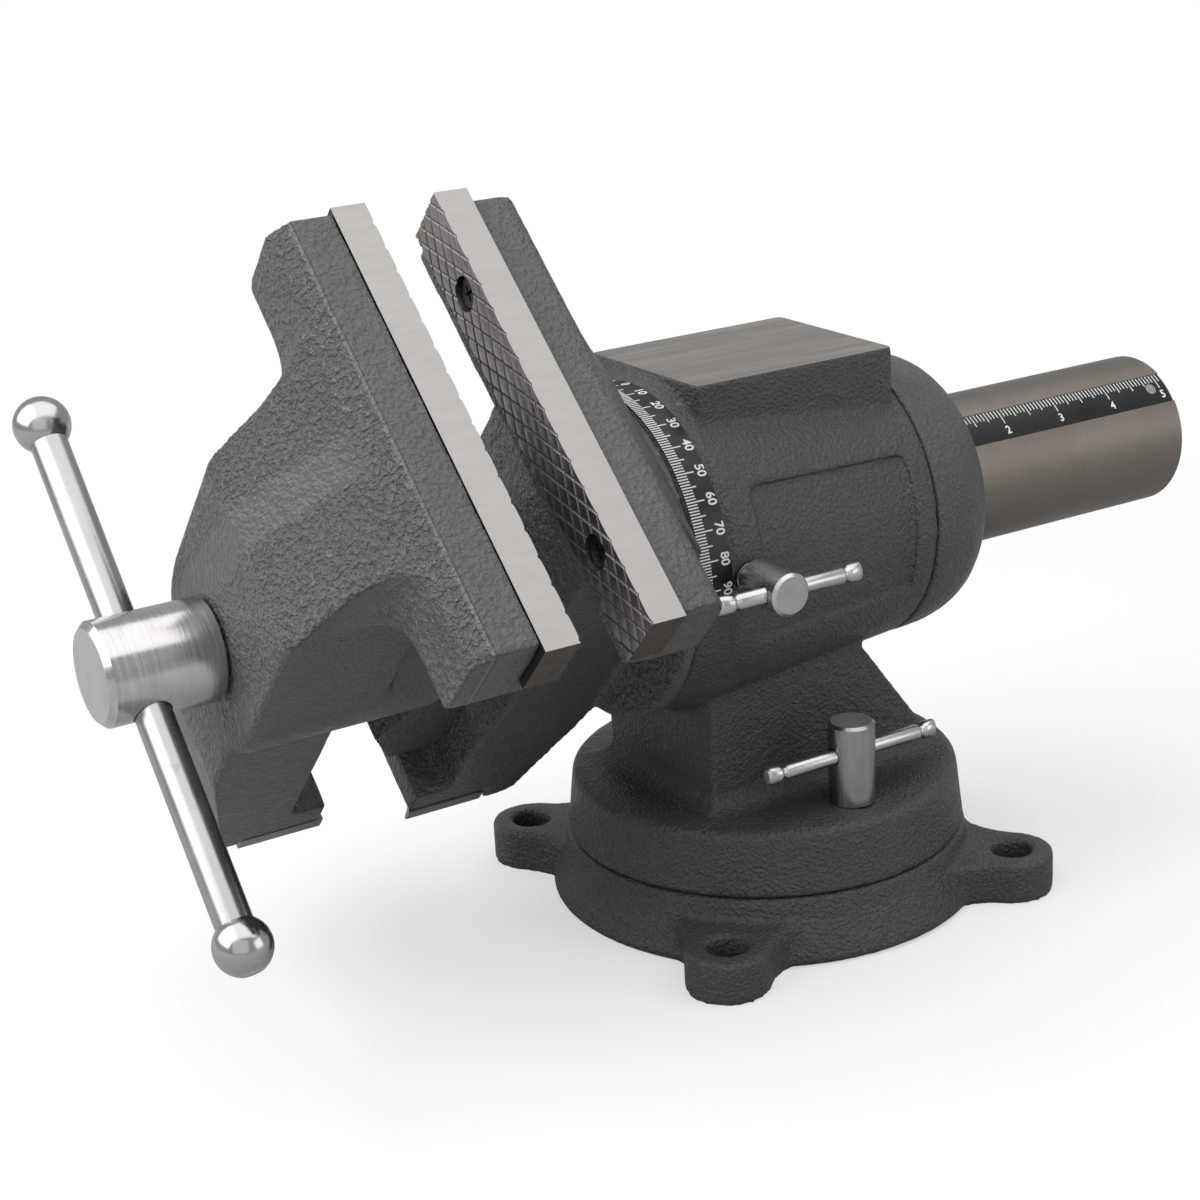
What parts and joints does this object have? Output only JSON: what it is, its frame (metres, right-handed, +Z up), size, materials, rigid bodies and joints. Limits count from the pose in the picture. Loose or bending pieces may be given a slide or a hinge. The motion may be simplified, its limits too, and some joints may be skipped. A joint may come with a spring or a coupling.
{
  "type": "rotating-head bench vise",
  "caption": "Bench vise on a swivel base, with a head that turns about its slide axis, hardened jaws, toothed pipe jaws below, an anvil, an angle scale and a ruled slide tube.",
  "frame": {"origin": "the swivel axis at the base's lower face, the middle of the base's bolt pattern", "axes": "+Z up along the swivel axis; +Y along the slide axis, from the spindle's handle to the slide tube's free end; +X to the right seen from the handle's side; the rest pose is the pictured one, with the head turned about Y"},
  "size_m": [0.2291, 0.4257, 0.2717],
  "materials": {
    "casting": "painted, textured",
    "pipe_jaw": "painted",
    "insert": "ground",
    "pad": "ground",
    "tube": "turned",
    "spindle": "turned",
    "zinc": "zinc plated",
    "ball": "polished",
    "hardware": "plain",
    "brass": "plain",
    "scale": "black with white marks",
    "screw": "black oxide"
  },
  "bodies": {
    "base": {"base_plate": "casting"},
    "swivel": {"swivel_body": "casting", "pivot_bolt": "hardware", "pivot_washer": "hardware", "lock_nut_right": "hardware", "lock_nut_left": "hardware", "angle_scale": "scale", "clamp_shoe": "brass"},
    "lock_right": {"lock_bolt_right": "zinc"},
    "lock_left": {"lock_bolt_left": "zinc"},
    "bar_right": {"lock_bar_right": "zinc"},
    "bar_left": {"lock_bar_left": "zinc"},
    "head_lock": {"head_bolt": "zinc"},
    "head_lock_bar": {"head_bar": "zinc"},
    "head": {"rear_jaw": "casting", "rear_cap": "casting", "rear_insert": "insert", "rear_insert_screw_near": "screw", "rear_insert_screw_far": "screw", "rear_pad": "pad", "rear_pad_screw_near": "screw", "rear_pad_screw_far": "screw", "rear_pipe_jaw": "pipe_jaw", "spindle_nut": "brass"},
    "slide": {"front_jaw": "casting", "front_insert": "insert", "front_insert_screw_near": "screw", "front_insert_screw_far": "screw", "front_pad": "pad", "front_pad_screw_near": "screw", "front_pad_screw_far": "screw", "front_pipe_jaw": "pipe_jaw", "slide_tube": "tube", "ruler_strip": "scale", "ruler_rivet": "hardware"},
    "screw": {"spindle": "spindle", "spindle_collar": "hardware"},
    "handle": {"handle_bar": "zinc", "handle_ball_upper": "ball", "handle_ball_lower": "ball"}
  },
  "joints": [
    {"name": "base_swivel", "type": "hinge", "parent": "base", "child": "swivel", "pos_m": [0, 0, 0.0235], "axis": [0, 0, 1], "continuous": true},
    {"name": "lock_turn_right", "type": "hinge", "parent": "swivel", "child": "lock_right", "pos_m": [0.054, 0, 0.058], "axis": [0, 0, 1], "range_deg": [-20, 20]},
    {"name": "lock_turn_left", "type": "hinge", "parent": "swivel", "child": "lock_left", "pos_m": [-0.054, 0, 0.058], "axis": [0, 0, 1], "range_deg": [-20, 20]},
    {"name": "lock_bar_slide_right", "type": "slide", "parent": "lock_right", "child": "bar_right", "axis": [0, 1, 0], "range_m": [-0.019, 0.019]},
    {"name": "lock_bar_slide_left", "type": "slide", "parent": "lock_left", "child": "bar_left", "axis": [0, 1, 0], "range_m": [-0.019, 0.019]},
    {"name": "head_lock_turn", "type": "hinge", "parent": "swivel", "child": "head_lock", "pos_m": [0.07, -0.043, 0.1397], "axis": [1, 0, 0], "range_deg": [-40, 40]},
    {"name": "head_bar_slide", "type": "slide", "parent": "head_lock", "child": "head_lock_bar", "axis": [0, 1, 0], "range_m": [-0.008, 0.0108]},
    {"name": "head_rotation", "type": "hinge", "parent": "swivel", "child": "head", "pos_m": [0, 0, 0.1377], "axis": [0, 1, 0], "continuous": true},
    {"name": "jaw_slide", "type": "slide", "parent": "head", "child": "slide", "axis": [0, 1, 0], "range_m": [-0.104, 0.0229]},
    {"name": "spindle_spin", "type": "hinge", "parent": "slide", "child": "screw", "pos_m": [0, -0.2, 0.1377], "axis": [0, 1, 0], "range_deg": [-5900, 1300]},
    {"name": "handle_slide", "type": "slide", "parent": "screw", "child": "handle", "axis": [-0.6884, 0, 0.7254], "range_m": [-0.062, 0.0685]}
  ],
  "couplings": [
    {"joint": "spindle_spin", "follows": "jaw_slide", "rad_per_m": 989.48}
  ]
}
